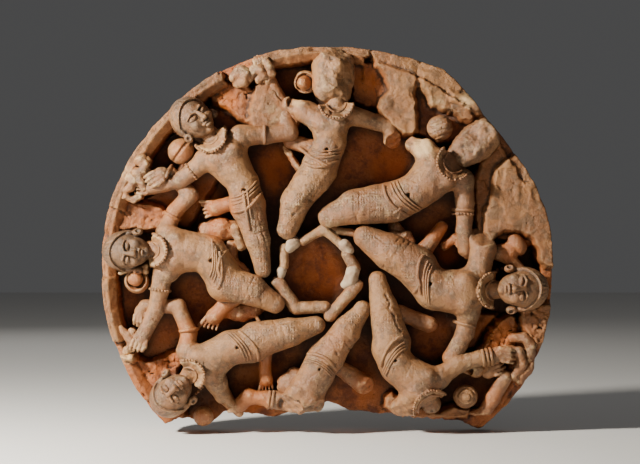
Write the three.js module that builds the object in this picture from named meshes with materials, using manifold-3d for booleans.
// A round ceiling boss carved from one block of sandstone: a ring of eight dancers with their
// heads to the rim and their knees on a small broken ring in the middle. Millimetres, +Z up,
// +X to the viewer's right; the carved face looks along -Y and the flat back lies on Y = 0.
// The origin is the centre of the disc on that back face, where the stone meets its bed.
import * as THREE from "three";
import { ConvexGeometry } from "three/addons/geometries/ConvexGeometry.js";
import { mergeVertices } from "three/addons/utils/BufferGeometryUtils.js";
import Module from "manifold-3d";

const wasm = await Module();
wasm.setup();

// Sizes of the stone itself.
const DISC_DIAMETER = 860;
const SLAB_THICKNESS = 55;
const RELIEF_DEPTH = 118;
const RIM_RISE = 76;
const RIM_BAND_WIDTH = 14;
const RIM_BEVEL_WIDTH = 20;
const RIM_BEVEL_DROP = 30;
const RIM_INSET = 3;
const ARMLET_PROUD = 3;
const FACET_TOLERANCE = 1;

// The carving is set out on a square grid with 225 steps to the disc's radius, so every place
// and half width below is a share of the disc, and every rise a percentage of the relief.
const GRID_STEPS = 225;
const grid = DISC_DIAMETER / 2 / GRID_STEPS;

// Facets: how finely each rounded form is cut.
const BODY_SIDES = 10;
const LIMB_SIDES = 8;
const SMALL_SIDES = 6;
const CORD_SIDES = 4;
const RIM_STEP_DEGREES = 6;

// Half the width of a bead string and of a belt strand, in grid steps.
const BEAD_HALF_WIDTH = 2.2;
const BELT_HALF_WIDTH = 2.4;

// The worn edge: its distance from the centre, in grid steps, every 15 degrees from +X.
const EDGE_STEP_DEGREES = 15;
const WORN_EDGE = [226, 227, 223, 222, 233, 227, 225, 227, 228, 226, 227, 228,
  225, 225, 225, 224, 224, 225, 225, 225, 225, 222, 228, 227];

// The broken foot of the disc, from left to right: everything below this line is lost.
const BROKEN_FOOT = [[-163, -153], [-149, -147], [-132, -151], [-118, -153], [-105, -141],
  [-72, -144], [-55, -148], [-37, -142], [-9, -137], [1, -132], [23, -141], [88, -146],
  [136, -151], [152, -159]];

// What is left of the raised rim: from and to in degrees, and how high it still stands.
const RIM_REMAINS = [
  { from: 100, to: 108, rise: 0.9 },
  { from: 80, to: 99, rise: 1 },
  { from: 44, to: 71, rise: 0.8 },
  { from: 120, to: 162, rise: 1 },
  { from: 163, to: 195, rise: 0.85 },
  { from: 197, to: 214, rise: 0.7 },
  { from: 316, to: 331, rise: 1 },
  { from: 339, to: 351, rise: 0.75 },
];

// Each form is a row of places: [x, z, half width, rise]. A limb runs through its places in
// turn, a mass is stretched over all of its places at once.
const DANCERS = {
  upper_left: {
    head: [-135, 154, 17, 66], crown: [-143, 160, 17, 62], nose: [-126, 146, 5, 86],
    bun: [-149, 121, 13, 50], neck: [-116, 137, 12, 62],
    shoulders: [[-121, 111, 12, 66], [-89, 131, 12, 66]], chest: [-101, 114, 21, 72],
    waist: [-84, 89, 15, 70], hip: [-79, 67, 18, 66],
    thigh: [[-79, 67, 17, 66], [-69, 32, 12, 70], [-64, 0, 8, 64]],
    arms: [
      [[-122, 110, 10, 66], [-147, 90, 8, 60], [-179, 83, 7, 56], [-185, 85, 7, 56]],
      [[-87, 136, 11, 66], [-62, 137, 9, 60], [-36, 142, 8, 56], [-57, 184, 7, 56], [-65, 206, 8, 58]],
    ],
    foot: [[-84, 64, 9, 46], [-110, 63, 7, 42], [-126, 64, 7, 40]],
  },
  top: {
    head: [6, 184, 17, 66], crown: [6, 202, 16, 58],
    bun: [-21, 190, 12, 52], neck: [10, 168, 12, 62],
    shoulders: [[-22, 161, 11, 62], [18, 157, 11, 62]], chest: [4, 146, 18, 70],
    waist: [4, 130, 14, 68], hip: [-7, 107, 18, 66],
    thigh: [[-9, 100, 18, 66], [-30, 72, 15, 70], [-40, 42, 10, 66], [-45, 34, 6, 60]],
    arms: [
      [[-22, 161, 10, 60], [-39, 168, 8, 52]],
      [[20, 158, 10, 60], [63, 146, 8, 50], [66, 132, 10, 48]],
    ],
    foot: [[-12, 124, 9, 46], [-36, 131, 7, 42]],
  },
  upper_right: {
    head: [146, 130, 19, 64], crown: [158, 141, 15, 58],
    bun: [113, 145, 13, 56], neck: [124, 108, 13, 62],
    shoulders: [[135, 92, 12, 64], [98, 121, 12, 62]], chest: [110, 99, 22, 72],
    waist: [88, 80, 19, 72], hip: [66, 70, 20, 68],
    thigh: [[58, 69, 20, 66], [28, 65, 17, 70], [0, 54, 11, 66]],
    arms: [
      [[135, 92, 11, 64], [138, 72, 9, 60], [137, 42, 9, 56], [139, 20, 8, 50]],
      [[98, 121, 11, 56], [86, 128, 8, 48]],
    ],
    foot: [[74, 38, 7, 36], [64, 47, 7, 36]],
  },
  right: {
    head: [195, -17, 19, 66], crown: [206, -17, 18, 60], nose: [186, -18, 5, 86],
    bun: [189, 22, 14, 50], neck: [166, -18, 12, 62],
    shoulders: [[151, 2, 12, 66], [141, -40, 12, 66]], chest: [134, -20, 23, 74],
    waist: [107, -18, 19, 72], hip: [92, 0, 21, 68],
    thigh: [[90, 5, 21, 68], [63, 20, 18, 70], [36, 36, 12, 66]],
    arms: [
      [[151, 2, 11, 64], [153, 27, 10, 60], [149, 37, 9, 56]],
      [[141, -40, 11, 64], [138, -58, 10, 60], [125, -86, 10, 52], [162, -100, 8, 48], [178, -88, 5, 46]],
    ],
    foot: [[96, 20, 9, 44], [104, 30, 7, 42], [117, 47, 6, 40]],
  },
  lower_right: {
    bun: [138, -123, 9, 46], neck: [101, -126, 14, 58],
    shoulders: [[112, -105, 12, 64], [80, -134, 12, 64]], chest: [92, -110, 20, 72],
    waist: [70, -94, 17, 70], hip: [63, -76, 19, 68],
    thigh: [[65, -70, 19, 66], [57, -38, 14, 70], [50, -6, 9, 64]],
    arms: [
      [[113, -104, 10, 64], [131, -92, 9, 62], [153, -86, 9, 60], [170, -83, 7, 58], [177, -80, 7, 56]],
      [[76, -132, 10, 60], [70, -142, 9, 56]],
    ],
    foot: [[72, -44, 9, 42], [103, -53, 8, 40]],
  },
  bottom: {
    neck: [-28, -138, 12, 56],
    shoulders: [[-36, -136, 12, 62], [-12, -140, 12, 62]], chest: [-20, -124, 18, 70],
    waist: [-10, -101, 16, 68], hip: [-4, -88, 17, 66],
    thigh: [[1, -83, 17, 66], [20, -58, 13, 70], [36, -35, 8, 64]],
    arms: [
      [[-40, -134, 10, 60], [-56, -136, 8, 58], [-82, -125, 7, 52], [-95, -138, 8, 50]],
    ],
    foot: [[10, -98, 9, 44], [38, -114, 11, 46]],
  },
  lower_left: {
    head: [-155, -121, 17, 66], crown: [-162, -127, 17, 60], nose: [-148, -112, 5, 86],
    bun: [-124, -145, 9, 46], neck: [-136, -101, 12, 62],
    shoulders: [[-139, -79, 11, 64], [-110, -110, 11, 64]], chest: [-121, -91, 20, 72],
    waist: [-97, -75, 16, 70], hip: [-75, -73, 18, 66],
    thigh: [[-70, -68, 19, 66], [-37, -60, 14, 70], [-9, -53, 9, 64]],
    arms: [
      [[-140, -78, 10, 64], [-138, -61, 8, 60], [-149, -33, 8, 58], [-187, -34, 7, 54], [-191, -50, 8, 54]],
      [[-110, -112, 10, 60], [-103, -134, 8, 54]],
    ],
    foot: [[-62, -78, 8, 44], [-62, -110, 6, 42], [-62, -117, 7, 42]],
  },
  left: {
    head: [-200, 21, 17, 66], crown: [-207, 21, 16, 60], nose: [-191, 22, 5, 86],
    bun: [-189, -13, 12, 52], neck: [-174, 22, 12, 62],
    shoulders: [[-159, 37, 11, 64], [-158, 2, 12, 64]], chest: [-148, 21, 22, 72],
    waist: [-119, 19, 18, 72], hip: [-106, 0, 19, 68],
    thigh: [[-102, -11, 19, 66], [-75, -18, 15, 70], [-50, -32, 10, 64]],
    arms: [
      [[-162, 40, 9, 62], [-152, 61, 8, 60], [-137, 77, 8, 58], [-160, 100, 7, 56], [-172, 97, 7, 56], [-178, 91, 5, 54]],
      [[-164, 0, 10, 64], [-167, -18, 9, 60], [-171, -38, 8, 58], [-186, -68, 7, 54]],
    ],
    foot: [[-97, -29, 8, 42], [-120, -54, 6, 38]],
  },
};

// Hands met on tied knots of cloth at the rim; these are the knots and stumps that are left.
const KNOTS = [
  [[-195, 100, 9, 56], [-197, 78, 9, 50], [-186, 104, 6, 54]],
  [[-88, 204, 6, 52], [-80, 200, 6, 50]],
  [[-69, 209, 8, 54], [-60, 200, 8, 52]],
  [[190, -83, 9, 48], [193, -102, 8, 44]],
  [[-202, -66, 8, 46], [-196, -76, 7, 42]],
  [[118, 24, 5, 34], [128, 33, 5, 38], [142, 16, 5, 36]],
];

// Rough broken stone where carving has split off, and low drapery on the ground.
const ROUGH_STONE = [
  [[45, 204, 7, 56], [72, 205, 7, 50], [56, 180, 7, 60], [84, 186, 6, 46]],
  [[56, 176, 7, 58], [55, 166, 6, 54], [86, 184, 6, 48], [88, 150, 6, 56], [74, 152, 6, 50]],
  [[172, 100, 6, 58], [200, 90, 7, 52], [186, 66, 7, 60], [162, 66, 6, 58]],
  [[164, 60, 6, 56], [208, 80, 7, 48], [212, 46, 7, 46], [180, 48, 6, 54], [162, 50, 6, 52]],
  [[-52, 188, 6, 44], [-46, 160, 7, 46], [-40, 172, 7, 48]],
  [[164, -48, 8, 28], [184, -46, 8, 24], [168, -70, 7, 26]],
  [[-118, 52, 6, 32], [-96, 52, 7, 36], [-120, 36, 5, 26], [-94, 34, 6, 30]],
  [[-104, -34, 6, 30], [-70, -36, 6, 34], [-106, -48, 6, 26]],
  [[-92, 46, 5, 56], [-90, 26, 5, 50], [-80, 20, 5, 56], [-74, 44, 6, 62]],
  [[-38, -113, 11, 52], [-34, -108, 10, 48]],
  [[160, 60, 6, 56], [158, 44, 6, 50], [172, 34, 5, 50], [164, 66, 6, 54]],
];

// Panels of the ground that stand nearer to the rim's height, with their crazed skin.
const RAISED_GROUND = [
  [[-116, 172, 8, 22], [-72, 198, 6, 24], [-62, 168, 6, 16], [-92, 158, 8, 14]],
  [[-196, 66, 7, 26], [-160, 74, 6, 20], [-150, 50, 6, 16], [-186, 44, 6, 22]],
  [[-186, -96, 7, 26], [-152, -92, 6, 18], [-176, -126, 7, 24], [-150, -150, 6, 20]],
];

// The small ring in the middle, broken into rods that bear on the dancers' knees.
const CENTRE_RODS = [
  [[-3, 43, 5, 62], [-24, 31, 4.5, 60], [-33, 29, 7, 62], [-43, 22, 4.5, 60], [-43, 6, 4.5, 58],
    [-45, 0, 6, 60], [-49, -10, 7, 56], [-31, -36, 7, 56], [-2, -35, 6, 56]],
  [[3, -44, 6, 56], [23, -21, 6, 58], [30, -13, 6, 58], [24, -8, 9, 62], [28, 4, 6, 58],
    [20, 18, 6, 58], [20, 24, 7, 62], [13, 29, 4.5, 58], [-2, 41, 4.5, 60]],
  [[3, 42, 4, 54], [26, 39, 4, 54]],
];

// Armlets and bangles: [x, z, half width, rise] on the arm, and the arm's direction in degrees.
const ARMLETS = [
  [-137, 101, 10, 62, 218], [-62, 137, 10, 60, 2], [136, 61, 10, 58, 268], [138, -52, 11, 62, 258],
  [-55, -136, 9, 58, 175], [-138, -57, 9, 60, 100], [-176, -34, 8, 55, 180], [-155, 57, 9, 60, 62],
  [-159, 99, 8, 57, 160], [-167, -18, 10, 60, 265],
];

const radians = THREE.MathUtils.degToRad;
const groundY = -SLAB_THICKNESS;
const embed = SLAB_THICKNESS / 10;

// A solid from a closed three.js geometry.
function solid(geometry) {
  const shape = geometry.index ? geometry : geometry.clone();
  shape.deleteAttribute("normal");
  shape.deleteAttribute("uv");
  const merged = mergeVertices(shape, 1e-4);
  return new wasm.Manifold(new wasm.Mesh({
    numProp: 3,
    vertProperties: merged.attributes.position.array,
    triVerts: new Uint32Array(merged.index.array),
  }));
}

// The disc's outline: the worn edge, rounded between its stated places.
function edgeRadius(degrees) {
  const place = ((degrees % 360) + 360) % 360 / EDGE_STEP_DEGREES;
  const first = Math.floor(place);
  const share = place - first;
  const next = (first + 1) % WORN_EDGE.length;
  return (WORN_EDGE[first] * (1 - share) + WORN_EDGE[next] * share) * grid;
}

// An upright prism of an outline drawn in X and Z, between two depths in front of the back.
function prism(outline, nearBack, farFront) {
  const shape = new THREE.Shape(outline.map(([x, z]) => new THREE.Vector2(x, z)));
  const geometry = new THREE.ExtrudeGeometry(shape, { depth: farFront - nearBack, bevelEnabled: false });
  geometry.rotateX(Math.PI / 2);
  geometry.translate(0, -nearBack, 0);
  return solid(geometry);
}

function discOutline(inset) {
  const outline = [];
  for (let degrees = 0; degrees < 360; degrees += RIM_STEP_DEGREES) {
    const radius = edgeRadius(degrees) - inset;
    outline.push([radius * Math.cos(radians(degrees)), radius * Math.sin(radians(degrees))]);
  }
  return outline;
}

// The stretch of raised rim between two bearings, with a flat band and a bevel down inside it.
function rimPiece({ from, to, rise }) {
  const outer = GRID_STEPS * grid - RIM_INSET;
  const top = RIM_RISE * rise;
  const profile = [
    [outer - RIM_BAND_WIDTH - RIM_BEVEL_WIDTH, -embed],
    [outer, -embed],
    [outer - RIM_INSET, top],
    [outer - RIM_BAND_WIDTH, top],
    [outer - RIM_BAND_WIDTH - RIM_BEVEL_WIDTH, top - RIM_BEVEL_DROP],
  ];
  const steps = Math.max(2, Math.ceil((to - from) / RIM_STEP_DEGREES));
  const pieces = [];
  for (let step = 0; step < steps; step += 1) {
    const corners = [];
    for (const share of [step / steps, (step + 1) / steps]) {
      const bearing = radians(from + (to - from) * share);
      for (const [radius, height] of profile) {
        corners.push(new THREE.Vector3(radius * Math.cos(bearing), groundY - height, radius * Math.sin(bearing)));
      }
    }
    pieces.push(solid(new ConvexGeometry(corners)));
  }
  return pieces.reduce((whole, piece) => whole.add(piece));
}

// The points of one rounded boss of stone: a dome on an upright wall that runs down into the slab.
function domePoints([x, z, halfWidth, rise], sides) {
  const radius = halfWidth * grid;
  const equator = Math.max(RELIEF_DEPTH * rise / 100, radius * 0.3);
  const centre = new THREE.Vector3(x * grid, groundY, z * grid);
  const points = [];
  const rings = [[1, -embed], [1, equator], [Math.SQRT1_2, equator + radius * Math.SQRT1_2]];
  for (const [share, height] of rings) {
    for (let side = 0; side < sides; side += 1) {
      const angle = 2 * Math.PI * side / sides;
      points.push(new THREE.Vector3(radius * share * Math.cos(angle), -height, radius * share * Math.sin(angle)).add(centre));
    }
  }
  points.push(new THREE.Vector3(0, -equator - radius, 0).add(centre));
  return points;
}

// A mass is stretched over all of its places; a limb joins each place to the next.
function mass(places, sides = LIMB_SIDES) {
  return solid(new ConvexGeometry(places.flatMap((place) => domePoints(place, sides))));
}

function limb(places, sides = LIMB_SIDES) {
  return places.slice(1).map((place, index) => mass([places[index], place], sides));
}

const inPlane = ([x, z]) => new THREE.Vector2(x, z);

// A collar hangs from the neck over the chest, a belt sags across the waist above the hip.
function collar({ neck, chest }, reach) {
  const centre = inPlane(neck);
  const towards = inPlane(chest).sub(centre).normalize();
  const crest = neck[3] + (neck[2] - BEAD_HALF_WIDTH) * grid / RELIEF_DEPTH * 100;
  const places = [-84, -42, 0, 42, 84].map((degrees) => {
    const offset = towards.clone().rotateAround(new THREE.Vector2(), radians(degrees));
    const place = centre.clone().addScaledVector(offset, neck[2] + reach);
    return [place.x, place.y, BEAD_HALF_WIDTH, crest * (0.84 + 0.14 * Math.cos(radians(degrees)))];
  });
  return limb(places, CORD_SIDES);
}

function belt({ waist, hip }, along) {
  const start = inPlane(waist);
  const towards = inPlane(hip).sub(start);
  const centre = start.clone().addScaledVector(towards, along);
  const down = towards.normalize();
  const across = new THREE.Vector2(-down.y, down.x);
  const halfWidth = (waist[2] + hip[2]) / 2;
  const rounding = halfWidth * grid / RELIEF_DEPTH * 100;
  const places = [-0.92, -0.5, 0, 0.5, 0.92].map((share) => {
    const place = centre.clone().addScaledVector(across, halfWidth * share);
    place.addScaledVector(down, -halfWidth * 0.3 * share * share);
    return [place.x, place.y, BELT_HALF_WIDTH, waist[3] + rounding * (Math.sqrt(1 - share * share) - 0.04)];
  });
  return limb(places, CORD_SIDES);
}

function armlet([x, z, halfWidth, rise, degrees]) {
  const step = 2.5;
  const along = [Math.cos(radians(degrees)) * step, Math.sin(radians(degrees)) * step];
  const proud = halfWidth + ARMLET_PROUD / grid / 2;
  return mass([[x - along[0], z - along[1], proud, rise], [x + along[0], z + along[1], proud, rise]], SMALL_SIDES);
}

function dancer(pose) {
  const { head, crown, nose, bun, neck, shoulders, chest, waist, hip, thigh, arms, foot } = pose;
  const forms = [
    mass([...shoulders, chest], LIMB_SIDES),
    mass([chest, waist], BODY_SIDES),
    mass([waist, hip], BODY_SIDES),
    mass([neck, chest], LIMB_SIDES),
    ...limb(thigh, BODY_SIDES),
    ...arms.flatMap((arm) => limb(arm, LIMB_SIDES)),
    ...limb(foot, SMALL_SIDES),
    ...collar(pose, 3),
    ...collar(pose, 9),
    ...belt(pose, 0.3),
    ...belt(pose, 0.8),
  ];
  if (bun) {
    forms.push(mass([bun], LIMB_SIDES));
  }
  if (head) {
    forms.push(mass([head], BODY_SIDES), mass([head, crown], BODY_SIDES), mass([head, neck], SMALL_SIDES));
  }
  if (nose) {
    const brow = [(nose[0] + head[0]) / 2, (nose[1] + head[1]) / 2, 4, head[3] + 22];
    forms.push(mass([[nose[0], nose[1], 3, head[3] + 14], brow], SMALL_SIDES));
  }
  return forms;
}

const outline = discOutline(0);
const front = SLAB_THICKNESS + RELIEF_DEPTH * 2;
const lowest = -GRID_STEPS * 1.2;
const lostFoot = prism(
  [...BROKEN_FOOT, [170, -172], [170, lowest], [-175, lowest], [-175, -165]].map(([x, z]) => [x * grid, z * grid]),
  -SLAB_THICKNESS,
  front,
);

const carving = [
  ...RIM_REMAINS.map(rimPiece),
  ...Object.values(DANCERS).flatMap(dancer),
  ...KNOTS.map((places) => mass(places, SMALL_SIDES)),
  ...ROUGH_STONE.map((places) => mass(places, SMALL_SIDES)),
  ...RAISED_GROUND.map((places) => mass(places, SMALL_SIDES)),
  ...CENTRE_RODS.flatMap((places) => limb(places, SMALL_SIDES)),
  ...ARMLETS.map(armlet),
];

const slab = prism(outline, 0, SLAB_THICKNESS);
const withinDisc = prism(outline, SLAB_THICKNESS / 2, front);
const relief = carving.reduce((whole, form) => whole.add(form)).intersect(withinDisc);
const carved = slab.add(relief).subtract(lostFoot);

// Where nearly flush faces meet they can leave pinholes in the stone: its outer skin is kept.
const boss = carved.decompose().reduce((largest, skin) => (skin.volume() > largest.volume() ? skin : largest)).asOriginal().simplify(FACET_TOLERANCE);

// The finished solid as a mesh with flat facets.
function toMesh(name, form, material) {
  const { vertProperties, triVerts, numProp } = form.getMesh();
  const positions = new Float32Array(vertProperties.length / numProp * 3);
  for (let vertex = 0; vertex < positions.length / 3; vertex += 1) {
    positions.set(vertProperties.subarray(vertex * numProp, vertex * numProp + 3), vertex * 3);
  }
  const geometry = new THREE.BufferGeometry();
  geometry.setAttribute("position", new THREE.BufferAttribute(positions, 3));
  geometry.setIndex(new THREE.BufferAttribute(new Uint32Array(triVerts), 1));
  geometry.computeVertexNormals();
  const mesh = new THREE.Mesh(geometry, material);
  mesh.name = name;
  return mesh;
}

const sandstone = new THREE.MeshStandardMaterial({ color: 0xb08460, roughness: 0.92, metalness: 0 });
const group = new THREE.Group();
group.add(toMesh("ceiling_boss", boss, sandstone));

export default group;
